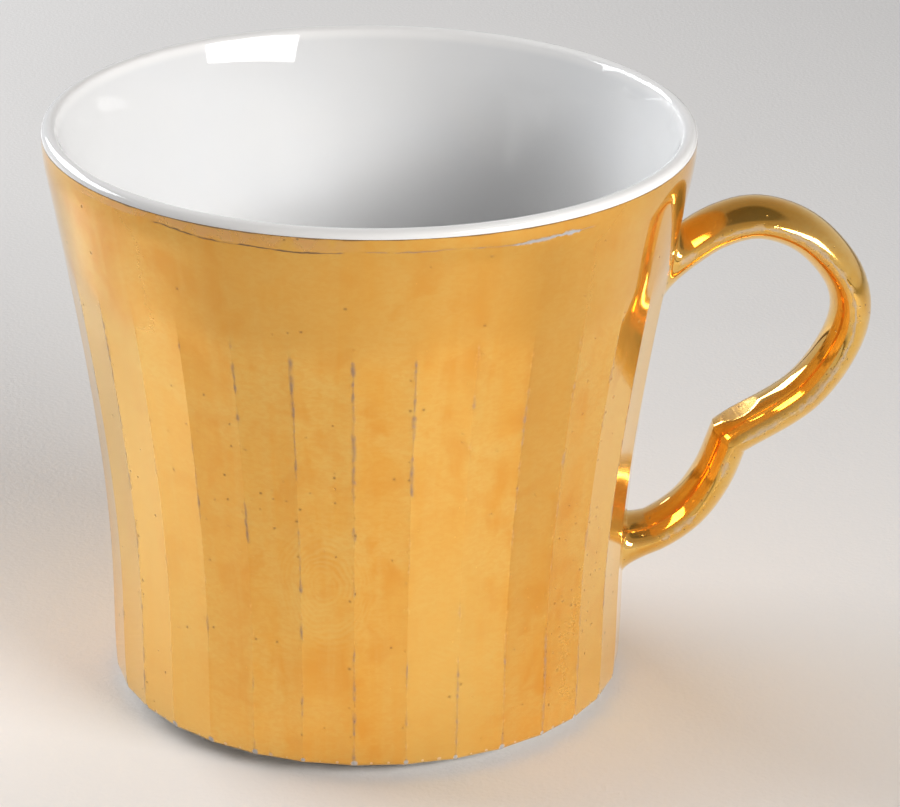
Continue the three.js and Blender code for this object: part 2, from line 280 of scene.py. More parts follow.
def wallWearAndShade(piece, turn, height):
    ridges = drawWear(wearAndShade["seed"], wearAndShade["otherRidges"], wearAndShade["frontRidges"])
    tones = drawWear(wearAndShade["seed"] + 1, wearAndShade["otherTones"], wearAndShade["frontTonesAndShades"])
    side = fromFront(turn)[None]
    tall = height[:, None]
    everywhere = np.ones((len(height), len(turn)))
    # each ridge fades from its upper to its middle to its lower strength, and ends where the panels do
    upper, middle, lower = ridges[np.round(turn).astype(int) % panels["count"]].T[:, None]
    lowTurn, highTurn = (smoothStep(tall, *levels) for levels in wearAndShade["ridgeLevels"])
    ridge = lower + (middle - lower) * lowTurn + (upper - middle) * highTurn
    keepWearAndShade(piece, "ridgeWear", ridge * (1 - smoothStep(tall, *wearAndShade["ridgeTop"])))
    # each panel's tone, partly random and in front a painted reflection and shade, drifts towards the next
    # one's
    index = np.floor(turn).astype(int) % panels["count"]
    drift = wearAndShade["toneDrift"] * (turn % 1)[:, None]
    mixed = tones[index] + drift * (tones[(index + 1) % panels["count"]] - tones[index])
    upper, lower = mixed.T[:, None]
    tone = lower + (upper - lower) * smoothStep(tall, *wearAndShade["toneLevels"])
    # the band above the panels is painted darker in front: painted shade
    band = wearAndShade["bandTone"] - wearAndShade["bandPaintedShade"] * stretch(side, *wearAndShade["bandShadeStretch"])
    panelEnd = cup["height"] - panels["topDrop"]
    onPanel = 1 - smoothStep(tall, panelEnd - panels["fade"], panelEnd)
    keepWearAndShade(piece, "panelToneAndShade", band + (tone - band) * onPanel)
    rim = sum(
        strength * stretch(side, start, end, wearAndShade["rimSoft"])
        for start, end, strength in wearAndShade["rimStretches"])
    keepWearAndShade(piece, "rimWear", rim * everywhere)
    waves = sum(high * np.sin(often * side + start) for high, often, start in wearAndShade["rimWaves"])
    line = wearAndShade["rimLine"] + waves
    climb, low, high = wearAndShade["rimRise"]
    keepWearAndShade(piece, "rimHeight", (line + climb * (1 - smoothStep(side, low, high))) * everywhere)
    chip, chipWidth = wearAndShade["chip"]
    bare = wearAndShade["bareShare"] * stretch(side, *wearAndShade["bareStretch"])
    bare = bare + np.exp(-((side - chip) / chipWidth) ** 2)
    keepWearAndShade(piece, "rimBare", np.clip(bare, 0, 1) * everywhere)
    keepWearAndShade(piece, "rubbed", stretch(side, *wearAndShade["rubbedStretch"]) * everywhere)
    cluster = sum(
        strength * np.exp(-((side - panel) / wide) ** 2 - ((tall - at) / high) ** 2)
        for panel, at, wide, high, strength in wearAndShade["pitted"])
    keepWearAndShade(piece, "pitted", cluster)


def insideWear(piece, height):
    side = fromFront(latheTurn)[None]
    lumpy = sum(np.exp(-((side - panel) / reach) ** 2) for panel, reach in wearAndShade["lumps"])
    keepWearAndShade(piece, "lumpy", lumpy * smoothStep(height[:, None], *wearAndShade["lumpLevels"]))


# gold coat on the wall: outer face with panels, rolled under at the base, and a plain inner face
wallSpots = np.array([0, 0.012, 0.04, 0.1, 0.2, 0.3, 0.4, 0.5, 0.6, 0.7, 0.8, 0.9, 0.96, 0.988])
wallRows = {"rolled": 7, "low": 60, "high": 64, "back": 14, "split": 40}  # low and high meet at the split


def wallCoat():
    turn = (np.arange(panels["count"])[:, None] + wallSpots).ravel()
    roundMiddle = foot["height"] + cup["baseRound"]
    rolled = np.linspace(-math.pi / 2, 0, wallRows["rolled"])[:-1]
    rolledHeight = roundMiddle + cup["baseRound"] * np.sin(rolled)
    rolledIn = cup["baseRound"] * (1 - np.cos(rolled))
    straight = np.concatenate([
        np.linspace(roundMiddle, wallRows["split"], wallRows["low"]),
        np.linspace(wallRows["split"], goldTop, wallRows["high"])[1:],
    ])
    height = np.concatenate([rolledHeight, straight])
    inward = np.concatenate([rolledIn, np.zeros(len(straight))])
    radius = outsideRadius(height)[:, None] - inward[:, None] - panelDent(turn[None], height[:, None])
    face = around(turn[None], radius, height[:, None])
    backHeight = np.append(np.linspace(goldTop, roundMiddle, wallRows["back"]), foot["height"] + cup["coat"])
    backPlain = outsideRadius(backHeight) - cup["coat"]
    backPlain[-1] = float(outsideRadius(roundMiddle)) - cup["baseRound"]
    backRadius = backPlain[:, None] - panelDent(turn[None], backHeight[:, None])
    backFace = around(turn[None], backRadius, backHeight[:, None])
    across = np.append(turn, panels["count"])
    every = np.concatenate([height, backHeight])
    piece = gridPiece("gilded_wall", np.concatenate([face, backFace]), None, True, across, every)
    wallWearAndShade(piece, turn, every)
    return piece


# white glaze: over the lip, down the inside and across the floor
insideRows = {"lip": 26, "opening": 22, "wall": 40, "corner": 20, "floor": 10}


def insideProfile(depth, lipStart):
    # a round lip, a hollow curve that opens towards it, the wall, the corner and the level floor
    floorTop = foot["height"] + cup["floor"]
    corner = floorTop + cup["insideCorner"]
    tilt = math.radians(cup["lipTilt"])
    lip = arc(lipMiddle, lipRadius - depth, lipStart, math.pi - tilt, insideRows["lip"])
    easeStart = cup["height"] - cup["insideEase"]
    t = np.linspace(1, 0, insideRows["opening"])[1:, None]
    tall = lip[-1, 1] - easeStart
    low = np.array([float(outsideRadius(easeStart)) - cup["wall"] + depth, easeStart])
    lowPull = np.array([cup["flareSlope"], 1]) * tall
    lipPull = np.array([math.tan(tilt), 1]) * tall
    opening = hermite(t, low, lowPull, lip[-1], lipPull)
    height = np.linspace(easeStart, corner, insideRows["wall"])[1:-1]
    wall = np.stack([outsideRadius(height) - cup["wall"] + depth, height], -1)
    middle = (float(outsideRadius(corner)) - cup["wall"] - cup["insideCorner"], corner)
    turnIn = arc(middle, cup["insideCorner"] + depth, 0, -math.pi / 2, insideRows["corner"])
    radius = np.linspace(middle[0], poleRadius, insideRows["floor"])[1:]
    level = np.stack([radius, np.full(len(radius), floorTop - depth)], -1)
    return np.vstack([lip, opening, wall, turnIn, level])


def insideCoat():
    lipStart = math.asin((lipRadius - cup["goldDrop"]) / lipRadius) + 0.03  # just clear of the gold
    face = insideProfile(0, lipStart)
    back = insideProfile(cup["coat"], lipStart)
    profile = np.vstack([back[::-1], face])
    ends = np.array([[axisX, 0, back[-1, 1]], [axisX, 0, face[-1, 1]]])
    piece = lathe("white_inside", profile, ends)
    insideWear(piece, profile[:, 1])
    return piece


# porcelain under the coats; only its underside shows
def porcelainBody():
    depth = cup["coat"] + cup["coatGap"]
    height = np.linspace(foot["height"] + cup["baseRound"], lipMiddle[1], insideRows["wall"])[:-1]
    outside = np.stack([outsideRadius(height) - depth - panels["depth"], height], -1)
    inside = insideProfile(depth, 0)
    edge = float(outsideRadius(height[0])) - cup["baseRound"] - 2 * cup["coatGap"]
    under = np.array([[radius, foot["height"]] for radius in (poleRadius, 8, 16, edge)])
    profile = np.vstack([under, outside, inside])
    ends = np.array([[axisX, 0, foot["height"]], [axisX, 0, inside[-1, 1]]])
    return lathe("porcelain_body", profile, ends)


def footRing():
    inner = foot["radius"] - foot["width"]
    r = foot["round"]
    outEdge = foot["radius"] - foot["taper"] - r
    inEdge = inner + foot["taper"] + r
    profile = np.vstack([
        arc((inEdge, r), r, math.pi, 1.5 * math.pi, 6),
        arc((outEdge, r), r, 1.5 * math.pi, 2 * math.pi, 6),
        [[foot["radius"], foot["height"]], [inner, foot["height"]]],
    ])
    return lathe("turned_foot", profile, joinEnds=True)


# handle: a strap that follows one line from the upper joint to the finger rest and another back to the wall
strap = {
    "thickness": 4.2,
    "width": 7.5,
    "edgeSharpness": 1.25,  # 1 is an ellipse; more draws the sides to a ridge
    "upperJoint": 45.5,
    "lowerJoint": 14.1,
    "jointLength": 3.2,
    "upperFillet": 1.7,
    "lowerFillet": 1.0,
    "loop": [[4.9, 3.3], [9.2, 4.3], [14.2, 2.5], [18.4, -2.5], [18.9, -7.1], [15, -14.3]],
    "rest": [7.0, -19.7],
    "lobe": [[9.2, 7.4], [6.7, 3.7], [3.3, 1.2]],
    "pad": (2.3, 2.2, 0.34),  # flat on the finger rest: distance from the tip, half length, depth
    "ridgeWear": (0.38, 0.42),  # everywhere, and more around the loop
    "loopWear": (9, 2, 4),  # where that starts, how far past the tip it goes, softness of the ends
    "rootWear": 0.45,
    "rootFade": (0.6, 2.4),
    "rootSharp": 50,  # degrees between faces that stay a hard edge
    "rootRows": 22,
    "rootSink": (0.05, 0.25),  # how far a root's edge and back lie below the wall's face
    "rootBack": 0.6,  # share of the root's outline at its back
    "sides": 64,
    "loopRows": 150,
    "lobeRows": 60,
}


def smoothLine(points):
    # a curve through the points whose speed follows the square root of their spacing
    full = np.vstack([2 * points[0] - points[1], points, 2 * points[-1] - points[-2]])
    step = np.sqrt(np.hypot(*np.diff(full, axis=0).T))[:, None]
    a, b, c, d = full[:-3], full[1:-2], full[2:-1], full[3:]
    before, here, after = step[:-2], step[1:-1], step[2:]
    startPull = here * ((b - a) / before - (c - a) / (before + here) + (c - b) / here)
    endPull = here * ((c - b) / here - (d - b) / (here + after) + (d - c) / after)
    t = np.linspace(0, 1, 80, endpoint=False)[None, :, None]
    b, c, startPull, endPull = (x[:, None] for x in (b, c, startPull, endPull))
    return np.vstack([hermite(t, b, startPull, c, endPull).reshape(-1, 2), points[-1:]])


def evenly(line, start, end, rows):
    # places and directions at even steps, from start to end in millimetres from the line's own ends
    length = lengthAlong(line)
    at = np.linspace(start, length[-1] + end, rows)
    place, ahead, behind = (
        np.stack([np.interp(at + shift, length, line[:, k]) for k in (0, 1)], -1)
        for shift in (0, 0.05, -0.05))
    direction = ahead - behind
    return place, direction / np.hypot(*direction.T)[:, None], at


def leftOf(direction):
    return np.stack([-direction[..., 1], direction[..., 0]], -1)


upperRoot, lowerRoot = (
    np.array([float(outsideRadius(strap[key])), strap[key]]) for key in ("upperJoint", "lowerJoint"))
restPlace = upperRoot + strap["rest"]
loopLine = smoothLine(np.vstack([upperRoot, upperRoot + np.array(strap["loop"]), restPlace]))
lobeLine = smoothLine(np.vstack([restPlace, lowerRoot + np.array(strap["lobe"]), lowerRoot]))
sectionAngle = np.arange(strap["sides"]) * 2 * math.pi / strap["sides"]


def strapStations():
    # middle points and outward normals; the two lines share a mitre at the finger rest
    place, direction, at = evenly(loopLine, strap["jointLength"], 0, strap["loopRows"])
    lobePlace, lobeDirection, lobeAt = evenly(lobeLine, 0, -strap["jointLength"], strap["lobeRows"])
    normal, lobeNormal = leftOf(direction), leftOf(lobeDirection)
    mitre = normal[-1] + lobeNormal[0]
    mitre = mitre / np.hypot(*mitre)
    normal[-1] = mitre / (mitre @ normal[-1])
    return (
        np.vstack([place, lobePlace[1:]]),
        np.vstack([normal, lobeNormal[1:]]),
        np.concatenate([at, at[-1] + lobeAt[1:]]),
        direction[0],
        lobeDirection[-1],
    )


strapPlace, strapNormal, strapAt, loopStart, lobeEnd = strapStations()
tipAt = strapAt[strap["loopRows"] - 1]


def padCut(at):
    # depth of the worn flat along the strap, a parabola that makes its outline an oval
    middle, half, deep = strap["pad"]
    return deep * np.clip(1 - ((at - tipAt + middle) / half) ** 2, 0, 1)


def strapRing(place, normal, depth, cut=None):
    # a pointed oval: thickness follows a power of the cosine, width follows the sine
    cosine = np.cos(sectionAngle)
    out = (strap["thickness"] / 2 - depth) * np.sign(cosine) * np.abs(cosine) ** strap["edgeSharpness"]
    if cut is not None:
        out = np.maximum(out, cut[:, None] + depth - strap["thickness"] / 2)
    across = (depth - strap["width"] / 2) * np.sin(sectionAngle)
    x = axisX + place[..., :1] + normal[..., :1] * out
    z = place[..., 1:] + normal[..., 1:] * out
    return np.stack([x, np.broadcast_to(across, x.shape), z], -1)


def strapCoat():
    cut = padCut(strapAt)
    outer = strapRing(strapPlace, strapNormal, 0, cut)
    inner = strapRing(strapPlace, strapNormal, cup["coat"], cut)[::-1]
    across = np.linspace(0, 1, strap["sides"] + 1)
    along = np.concatenate([strapAt, strapAt[::-1]])
    piece = gridPiece("gilded_handle", np.concatenate([outer, inner]), None, True, across, along)
    # the ridges are bare around the loop and less so towards the wall; the pad is where the flat was cut
    everywhere, onLoop = strap["ridgeWear"]
    start, past, soft = strap["loopWear"]
    rubbed = everywhere + onLoop * stretch(strapAt, start, tipAt + past, soft)
    keepWearAndShade(piece, "ridgeWear", rubbed[:, None] * np.ones(strap["sides"]))
    crown = (1 - np.abs(np.cos(sectionAngle)) ** strap["edgeSharpness"]) * strap["thickness"] / 2
    onPad = smoothStep(cut[:, None] - crown, -0.02, 0.05) * (np.cos(sectionAngle) < 0) * (cut[:, None] > 0)
    keepWearAndShade(piece, "padWear", onPad)
    return piece


def strapCore():
    rings = strapRing(strapPlace, strapNormal, cup["coat"] + cup["coatGap"], padCut(strapAt))
    ends = np.array([[axisX + p[0], 0, p[1]] for p in (strapPlace[0], strapPlace[-1])])
    return gridPiece("handle_core", rings, ends)


def onPanels(y, height, depth):
    # a point of the panelled wall on the handle's side, from its sideways place and height
    radius = outsideRadius(height)
    turn = np.arctan2(np.sqrt(radius ** 2 - y ** 2), -y) / (2 * math.pi) * panels["count"] + 0.5
    radius = radius - panelDent(turn, height) - depth
    return np.stack([axisX + np.sqrt(radius ** 2 - y ** 2), y, height], -1)


def rootPiece(name, root, place, normal, direction, fillet):
    # each line runs straight on from the strap, then bends out along the wall in one hollow curve
    slope = float(outsideRadius(root[1] + 1) - outsideRadius(root[1]))
    alongWall = np.array([slope, 1]) / math.hypot(slope, 1)
    slant = abs(leftOf(direction) @ alongWall)
    side = math.copysign(1, direction[0])
    up = np.cos(sectionAngle) * side
    across = -np.sin(sectionAngle)
    tall = strap["thickness"] / 2 / slant
    wide = strap["width"] / 2
    start = strapRing(place[None], normal[None], 0)[0]
    edgeSink, backSink = strap["rootSink"]
    bend = onPanels(wide * across, root[1] + tall * up, edgeSink)
    outAcross, outUp = (wide + fillet) * across, (tall + fillet) * up
    end = onPanels(outAcross, root[1] + outUp, edgeSink)
    t = np.linspace(0, 1, strap["rootRows"])[:, None, None]
    face = (1 - t) ** 2 * start + 2 * (1 - t) * t * bend + t * t * end
    back = onPanels(outAcross * strap["rootBack"], root[1] + outUp * strap["rootBack"], backSink)
    rings = np.concatenate([face, back[None]])
    ends = np.array([[axisX + place[0], 0, place[1]], onPanels(np.array(0.0), np.array(root[1]), backSink)])
    along = np.append(np.linspace(0, strap["jointLength"], strap["rootRows"]), strap["jointLength"] + 1)
    shares = np.linspace(0, 1, strap["sides"] + 1)
    piece = gridPiece(name, rings, ends, False, shares, along, strap["rootSharp"])
    fading = strap["rootWear"] * (1 - smoothStep(along, *strap["rootFade"]))
    keepWearAndShade(piece, "ridgeWear", fading[:, None] * np.ones(strap["sides"]))
    keepWearAndShade(piece, "padWear", np.zeros(rings.shape[:2]))
    return piece


# node trees: a value is a node's output, and sums with it make the nodes that work it out
class Value:
    def __init__(self, tree, socket):
        self.tree, self.socket = tree, socket

    def math(self, operation, *others):
        inputs = dict(enumerate((self, *others)))
        return valueOf(self.tree, "ShaderNodeMath", 0, inputs, operation=operation)

    def __add__(self, other):
        return self.math("ADD", other)

    def __sub__(self, other):
        return self.math("SUBTRACT", other)

    def __rsub__(self, other):
        return self * -1.0 + other

    def __mul__(self, other):
        return self.math("MULTIPLY", other)


def put(socket, value):
    if isinstance(value, Value):
        value.tree.links.new(value.socket, socket)
    else:
        socket.default_value = value


def addNode(tree, kind, inputs=None, **settings):
    node = tree.nodes.new(kind)
    for name, value in settings.items():
        setattr(node, name, value)
    for name, value in (inputs or {}).items():
        put(node.inputs[name], value)
    return node


def valueOf(tree, kind, output, inputs=None, **settings):
    return Value(tree, addNode(tree, kind, inputs, **settings).outputs[output])


def most(first, *others):
    for other in others:
        first = first.math("MAXIMUM", other)
    return first


def distanceOf(sideways, upward):
    return (sideways * sideways + upward * upward).math("SQRT")


def ease(value, low, high, start=0.0, end=1.0):
    # an S curve from start at low to end at high
    inputs = dict(enumerate((value, low, high, start, end)))
    return valueOf(value.tree, "ShaderNodeMapRange", 0, inputs, interpolation_type="SMOOTHSTEP")


def blend(share, first, second):
    return valueOf(share.tree, "ShaderNodeMix", 2, {0: share, 6: first, 7: second}, data_type="RGBA")


def layered(color, *layers):
    # each layer is a mask, its strength and the colour that it brings
    for mask, strength, over in layers:
        color = blend(mask * strength, color, over)
    return color


def grainOf(place, scale, detail=2.0, distortion=0.0):
    inputs = {"Vector": place, "Scale": scale, "Detail": detail, "Distortion": distortion}
    return valueOf(place.tree, "ShaderNodeTexNoise", "Fac", inputs)


def objectPlace(tree, scale=(1, 1, 1)):
    place = valueOf(tree, "ShaderNodeTexCoord", "Object")
    if scale == (1, 1, 1):
        return place
    return valueOf(tree, "ShaderNodeMapping", 0, {"Vector": place, "Scale": scale})


def partOf(vector, index):
    return valueOf(vector.tree, "ShaderNodeSeparateXYZ", index, {"Vector": vector})


def pieceMap(tree):
    place = valueOf(tree, "ShaderNodeUVMap", 0, uv_map="pieceMap")
    return partOf(place, 0), partOf(place, 1)


def flatPlace(across, along):
    return valueOf(along.tree, "ShaderNodeCombineXYZ", 0, {"X": across, "Y": along})


def wearAndShadeOf(tree, name):
    return valueOf(tree, "ShaderNodeAttribute", "Fac", attribute_name=name)


def makeGroup(name, inputs):
    # inputs are names with default values; every group puts out one mask
    group = bpy.data.node_groups.new(name, "ShaderNodeTree")
    for label, value in inputs.items():
        kind = "NodeSocketVector" if value is None else "NodeSocketFloat"
        socket = group.interface.new_socket(name=label, in_out="INPUT", socket_type=kind)
        if value is not None:
            socket.default_value = value
    group.interface.new_socket(name="Mask", in_out="OUTPUT", socket_type="NodeSocketFloat")
    given = addNode(group, "NodeGroupInput").outputs
    mask = addNode(group, "NodeGroupOutput").inputs["Mask"]
    return group, mask, *(Value(group, given[label]) for label in inputs)


def useGroup(group, place, **inputs):
    return valueOf(place.tree, "ShaderNodeGroup", 0, {"Vector": place, **inputs}, node_tree=group)


# a line rubbed along an edge: ragged in width, broken where the strength is low
def makeWornLine():
    group, mask, place, distance, width, strength, scale = makeGroup(
        "wornLine", {"Vector": None, "Distance": 1.0, "Width": 0.2, "Strength": 0.5, "Scale": 700.0})
    ragged = ease(grainOf(place, scale, 3.0), 0.3, 0.7)
    width = width * (ragged * 1.1 + 0.35)
    line = ease(distance, width, width * 0.1)
    patches = ease(grainOf(place, scale * 0.4, 4.0), 0.27, 0.73)
    bare = 1.0 - strength
    cover = ease(patches, bare - 0.2, bare + 0.2)
    put(mask, line * cover * ease(strength, 0.02, 0.2))
    return group


# round pin holes, one at most in each cell, and only in a share of the cells
def makePinHoles(name, dimensions):
    group, mask, place, scale, size, share = makeGroup(
        name, {"Vector": None, "Scale": 1.0, "Size": 0.06, "Share": 0.2})
    inputs = {"Vector": place, "Scale": scale}
    cells = addNode(group, "ShaderNodeTexVoronoi", inputs, voronoi_dimensions=dimensions).outputs
    chance = addNode(group, "ShaderNodeSeparateColor", {"Color": Value(group, cells["Color"])}).outputs
    size = size * (Value(group, chance[1]) * 1.1 + 0.35)
    hole = ease(Value(group, cells["Distance"]), size, size * 0.45)
    put(mask, hole * Value(group, chance[0]).math("LESS_THAN", share))
    return group


# cloudy patches, as left by fingers and polish
def makeSmudges():
    group, mask, place, scale, low, high = makeGroup(
        "smudges", {"Vector": None, "Scale": 120.0, "Low": 0.45, "High": 0.7})
    put(mask, ease(grainOf(place, scale, 4.0, 0.7), low, high))
    return group


# hair scratches: edges of warped cells, kept only in a few places
def makeHairScratches():
    group, mask, place, scale, width, share = makeGroup(
        "hairScratches", {"Vector": None, "Scale": 60.0, "Width": 0.012, "Share": 0.3})
    warp = valueOf(group, "ShaderNodeTexNoise", "Color", {"Vector": place, "Scale": 90.0})
    shift = valueOf(group, "ShaderNodeVectorMath", 0, {0: warp, "Scale": 0.012}, operation="SCALE")
    moved = valueOf(group, "ShaderNodeVectorMath", 0, {0: place, 1: shift}, operation="ADD")
    inputs = {"Vector": moved, "Scale": scale}
    away = valueOf(group, "ShaderNodeTexVoronoi", "Distance", inputs, feature="DISTANCE_TO_EDGE")
    often = grainOf(place, scale * 1.7)
    edge = share * -0.4 + 0.7
    put(mask, ease(away, width, 0.0) * ease(often, edge, edge + 0.08))
    return group


wornLine = makeWornLine()
pinHoles = makePinHoles("pinHoles", "2D")
specks = makePinHoles("specks", "3D")
smudges = makeSmudges()
hairScratches = makeHairScratches()


def newMaterial(name, constants=None):
    # constants are plain values for sockets of the shader
    material = bpy.data.materials.new(name)
    material.use_nodes = True
    tree = material.node_tree
    tree.nodes.clear()
    shader = addNode(tree, "ShaderNodeBsdfPrincipled", constants)
    output = addNode(tree, "ShaderNodeOutputMaterial")
    tree.links.new(shader.outputs[0], output.inputs[0])
    return material, tree, shader.inputs


def bumpOf(shader, height, depth):
    inputs = {"Height": height, "Distance": depth * mm, "Strength": 1.0}
    put(shader["Normal"], valueOf(height.tree, "ShaderNodeBump", 0, inputs))


gold = {
    "warm": (0.97, 0.495, 0.072, 1),
    "pale": (0.965, 0.605, 0.145, 1),
    "deep": (0.91, 0.39, 0.035, 1),
    # painted shade: the darker gold given to panels that mirror shadow
    "paintedShadeGold": (0.79, 0.385, 0.055, 1),
    "rubbed": (0.88, 0.475, 0.17, 1),
    "thin": (0.24, 0.172, 0.155, 1),  # mauve grey, where only a trace of gold is left
    "bare": (0.45, 0.465, 0.49, 1),  # the white under it
    "handleWarm": (0.95, 0.56, 0.11, 1),
    "handlePale": (0.97, 0.65, 0.21, 1),
    "handleDeep": (0.90, 0.47, 0.07, 1),
    "handleBare": (0.52, 0.41, 0.28, 1),
    "dirt": (0.13, 0.062, 0.018, 1),
    "panelWidth": 5.45,  # millimetres for one step of the wall's map
    "strapGirth": 18.8,  # and once round the strap
    "ridgeWidth": 0.26,
    "handleRidge": 0.42,
    "rimWidth": 0.1,
    "bareWidth": 0.3,  # added to it where the white shows
    "toPaintedSheen": 0.55,  # how far a panel's tone goes towards the pale gold, a painted sheen, and the darker gold, a painted shade
    "toPaintedShade": 0.8,
    "wallHoles": {"Scale": 0.8, "Size": 0.12},
    "handleHoles": {"Scale": 1.1, "Size": 0.11},
    # share of cells with a pin hole: in pitted places, everywhere and beside the ridges
    "holeShares": (0.55, 0.03, 0.14),
    # bare dots at the base: how many to a panel, height, sizes in millimetres
    "dots": {"count": 3, "up": 0.42, "size": 0.05, "onRidge": 0.2, "varied": 0.26, "ragged": 0.16},
    # marks rubbed into the gold: lines full in the core and gone at the reach, bent and broken by noise
    "finger": {
        "panel": -0.55, "level": 21.5, "squeeze": 0.75, "spacing": 0.46, "reach": 6.5, "core": 3.25,
        "bend": (300.0, 1.6), "hollow": (0.5, 1.5), "slant": None,
        "broken": {"Scale": 330.0, "Low": 0.35, "High": 0.6},
    },
    "cloth": {
        "panel": 2.0, "level": 11.5, "squeeze": 1.0, "spacing": 0.55, "reach": 7.0, "core": 2.1,
        "bend": (260.0, 2.0), "hollow": None, "slant": (0.45, 0.9),
        "broken": {"Scale": 420.0, "Low": 0.42, "High": 0.62},
    },
    "wallMetallic": 0.7,  # the film is thin and scuffed, so part of the light is scattered
    "handleMetallic": 0.85,
    "coat": 0.55,  # grease and lustre over the metal, which pales it at a slant
    # the metal itself stays yellow at a slant
    "finish": {"Coat Roughness": 0.04, "Specular Tint": (1.0, 1.0, 0.86, 1)},
}


def mottledGold(place, across, along, warm, paler, deeper):
    # warm gold with paler and deeper clouds, streaks along the piece and a fine grain
    streaks = useGroup(smudges, flatPlace(across * 2.6, along * 0.035), Scale=1.0, Low=0.36, High=0.66)
    pale = useGroup(smudges, place, Scale=120.0, Low=0.42, High=0.7)
    deep = useGroup(smudges, place, Scale=210.0, Low=0.48, High=0.68)
    fine = useGroup(smudges, objectPlace(place.tree, (1, 1, 2)), Scale=1300.0, Low=0.3, High=0.7)
    color = layered(
        warm, (pale, 0.6, paler), (deep, 0.8, deeper), (streaks, 0.45, paler), (fine, 0.42, deeper))
    return color, pale, deep


def baseDots(place, turn, height, ridgeDistance):
    # bare dots along the base edge, larger on the ridges and uneven in size
    dots = gold["dots"]
    sideways = (turn * dots["count"]).math("PINGPONG", 0.5) * (gold["panelWidth"] / dots["count"])
    away = distanceOf(sideways, height - (foot["height"] + dots["up"]))
    nearRidge = ease(ridgeDistance, 0.6, 0.4)
    varied = ease(grainOf(place, 330.0), 0.3, 0.7)
    size = nearRidge * dots["onRidge"] + dots["size"] + varied * dots["varied"]
    ragged = grainOf(place, 2600.0) * dots["ragged"] - dots["ragged"] / 2
    return ease(away + ragged, size, size * 0.5) * (nearRidge * 0.4 + 0.5)


def rubbedMark(place, turn, height, mark):
    # even lines in a round place, rings around it or slanting, bent and broken by noise
    half = panels["count"] / 2
    sideways = (turn.math("WRAP", half, -half) - mark["panel"]) * gold["panelWidth"]
    upward = (height - mark["level"]) * mark["squeeze"]
    away = across = distanceOf(sideways, upward)
    if mark["slant"]:
        across = sideways * mark["slant"][0] + upward * mark["slant"][1]
    scale, far = mark["bend"]
    bent = grainOf(place, scale, 1.0) * far + across
    wave = (bent * (2 * math.pi / mark["spacing"])).math("SINE")
    lines = (wave * 0.5 + 0.5) * ease(away, mark["reach"], mark["core"])
    if mark["hollow"]:
        lines = lines * ease(away, *mark["hollow"])
    return lines * useGroup(smudges, place, **mark["broken"])


def wallGold():
    material, tree, shader = newMaterial("wall_gold", gold["finish"])
    place = objectPlace(tree)
    turn, height = pieceMap(tree)
    color, _, deep = mottledGold(place, turn, height, gold["warm"], gold["pale"], gold["deep"])
    # each panel is painted paler or darker: partly a random tone, partly painted reflection and shade of the
    # floor it mirrors
    tone = wearAndShadeOf(tree, "panelToneAndShade")
    color = blend(ease(tone, 0.45, 1.0, 0.0, gold["toPaintedSheen"]), color, gold["pale"])
    color = blend(ease(tone, 0.5, 0.0, 0.0, gold["toPaintedShade"]), color, gold["paintedShadeGold"])

    ridgeDistance = turn.math("PINGPONG", 0.5) * gold["panelWidth"]
    ridges = useGroup(
        wornLine, place, Distance=ridgeDistance, Width=gold["ridgeWidth"],
        Strength=wearAndShadeOf(tree, "ridgeWear"), Scale=700.0)
    aboveLine = height - wearAndShadeOf(tree, "rimHeight")
    jitter = grainOf(place, 900.0, 3.0) * 0.3 - 0.15
    bareShare = wearAndShadeOf(tree, "rimBare")
    rim = useGroup(
        wornLine, place, Distance=(aboveLine + jitter).math("ABSOLUTE"),
        Width=bareShare * gold["bareWidth"] + gold["rimWidth"],
        Strength=wearAndShadeOf(tree, "rimWear"), Scale=800.0)
    # above that line the gold is rubbed on one side
    rubbedSide = wearAndShadeOf(tree, "rubbed")
    patches = useGroup(smudges, place, Scale=420.0, Low=0.3, High=0.62)
    rubbed = ease(aboveLine, -0.05, 0.25) * rubbedSide * patches

    # dark seam where the gold ends below the lip, and bare dots along the base edge
    seam = ease(height + grainOf(place, 420.0, 3.0) * 0.3, goldTop + 0.03, goldTop + 0.12)
    dots = baseDots(place, turn, height, ridgeDistance)

    # pin holes: a few everywhere, more beside the ridges and in the pitted places
    inPitted, anywhere, besideRidge = gold["holeShares"]
    holeShare = wearAndShadeOf(tree, "pitted") * inPitted + anywhere + ease(ridgeDistance, 1.1, 0.3) * besideRidge
    flat = flatPlace(turn * gold["panelWidth"], height)
    holes = useGroup(pinHoles, flat, Share=holeShare, **gold["wallHoles"])
    finger, cloth = (rubbedMark(place, turn, height, gold[name]) for name in ("finger", "cloth"))

    thin = most(ridges * ease(grainOf(place, 1400.0), 0.35, 0.7, 0.2, 0.75), rim * 0.8)
    bare = most(rim * ease(bareShare, 0.2, 0.6), dots)
    dirt = most(seam * 0.8, holes * 0.55)
    color = layered(
        color, (most(finger, cloth), 0.5, gold["pale"]), (rubbed, 0.8, gold["rubbed"]),
        (thin, 1.0, gold["thin"]), (rim * rubbedSide, 0.8, gold["dirt"]),
        (bare, 1.0, gold["bare"]), (dirt, 1.0, gold["dirt"]))
    put(shader["Base Color"], color)
    lost = most(thin * 0.75, bare, dirt * 0.7)
    put(shader["Metallic"], most(gold["wallMetallic"] - lost, 0.0))
    put(shader["Coat Weight"], lost * -gold["coat"] + gold["coat"])
    streaks = grainOf(objectPlace(tree, (0.12, 0.12, 1)), 1500.0, 3.0)
    worn = most(finger * 0.2, lost, rubbed)
    put(shader["Roughness"], deep * 0.06 + streaks * 0.06 + 0.03 + worn * 0.28)
    # brush ripples and a faint wave, with the worn places and holes a little lower
    relief = grainOf(place, 260.0, 1.0) * 0.5 + streaks * 0.12
    bumpOf(shader, relief - most(holes * 0.3, bare * 0.6) * 1.5, 0.02)
    return material


